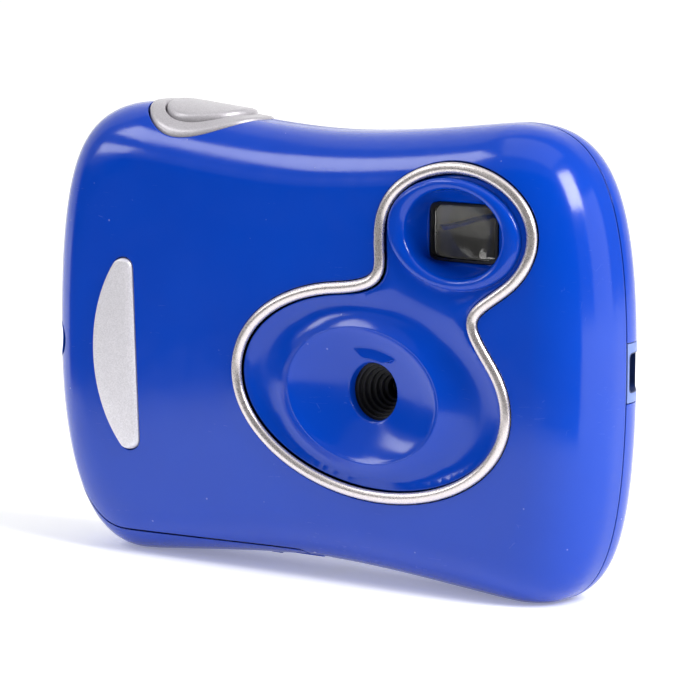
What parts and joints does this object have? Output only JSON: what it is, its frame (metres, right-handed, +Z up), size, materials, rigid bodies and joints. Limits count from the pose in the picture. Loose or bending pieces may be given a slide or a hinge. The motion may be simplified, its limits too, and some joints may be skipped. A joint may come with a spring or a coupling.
{
  "type": "compact digital camera",
  "caption": "Compact blue point-and-shoot camera with a lens dish, an optical viewfinder, a shutter release, a side data port and a hinged battery door.",
  "frame": {"origin": "middle of the footprint, on the plane the camera stands on", "axes": "+Z up, the lens looks along -Y, +X is the side with the data port"},
  "size_m": [0.1084, 0.0258, 0.0749],
  "materials": {
    "blue": "glossy royal blue moulded plastic",
    "guide_blue": "dark blue unpolished plastic",
    "silver": "plastic with fine metallic silver paint",
    "black": "matt black plastic",
    "clear": "clear polished plastic",
    "steel": "bright plated steel",
    "brass": "plated spring brass",
    "circuit_board": "green solder mask",
    "cell_jacket": "dark printed sleeve, plain",
    "port_grey": "grey-blue plastic"
  },
  "bodies": {
    "case": {"front_cover": "blue", "rear_cover": "blue", "door_hinge_pin": "steel", "strap_guide": "guide_blue", "lens_panel": "blue", "trim_ring": "silver", "grip_accent": "silver", "lens_baffle": "black", "lens_barrel": "black", "front_lens": "clear", "lens_holder": "black", "ir_filter": "clear", "image_sensor": "black", "viewfinder_window": "clear", "viewfinder_tube": "black", "viewfinder_eyepiece": "clear", "shutter_bezel": "silver", "shutter_spring": "steel", "shutter_board": "circuit_board", "shutter_switch": "black", "battery_tray": "black", "battery_1": "cell_jacket", "battery_2": "cell_jacket", "battery_3": "cell_jacket", "contact_positive": "brass", "contact_bridge_top": "brass", "battery_spring_2": "steel", "main_board": "circuit_board", "board_screw_1": "steel", "board_screw_2": "steel", "main_chip": "black", "memory_chip": "black", "crystal": "steel", "capacitor": "cell_jacket", "buzzer": "black", "usb_bezel": "port_grey", "usb_connector": "steel", "lcd_module": "black", "lcd_window": "clear", "power_switch": "black", "mode_switch": "black", "case_screw_1": "steel", "case_screw_2": "steel", "case_screw_3": "steel", "case_screw_4": "steel"},
    "door": {"battery_door": "blue", "door_contact_bridge": "brass", "door_contact_end": "brass", "battery_spring_1": "steel", "battery_spring_3": "steel"},
    "shutter": {"shutter_button": "silver"},
    "power": {"power_button": "silver"},
    "mode": {"mode_button": "silver"}
  },
  "joints": [
    {"name": "battery_door_hinge", "type": "hinge", "parent": "case", "child": "door", "pos_m": [0.00035, 0.00097, 0.0043], "axis": [0, -1, 0], "range_deg": [0, 90]},
    {"name": "shutter_press", "type": "slide", "parent": "case", "child": "shutter", "axis": [0, 0, -1], "range_m": [0, 0.0012], "stiffness_N_per_m": 250, "springref_m": -0.002, "deforming": ["shutter_spring"]},
    {"name": "power_press", "type": "slide", "parent": "case", "child": "power", "axis": [0, -1, 0], "range_m": [0, 0.0004], "stiffness_N_per_m": 600, "springref_m": -0.001},
    {"name": "mode_press", "type": "slide", "parent": "case", "child": "mode", "axis": [0, -1, 0], "range_m": [0, 0.0004], "stiffness_N_per_m": 600, "springref_m": -0.001}
  ]
}
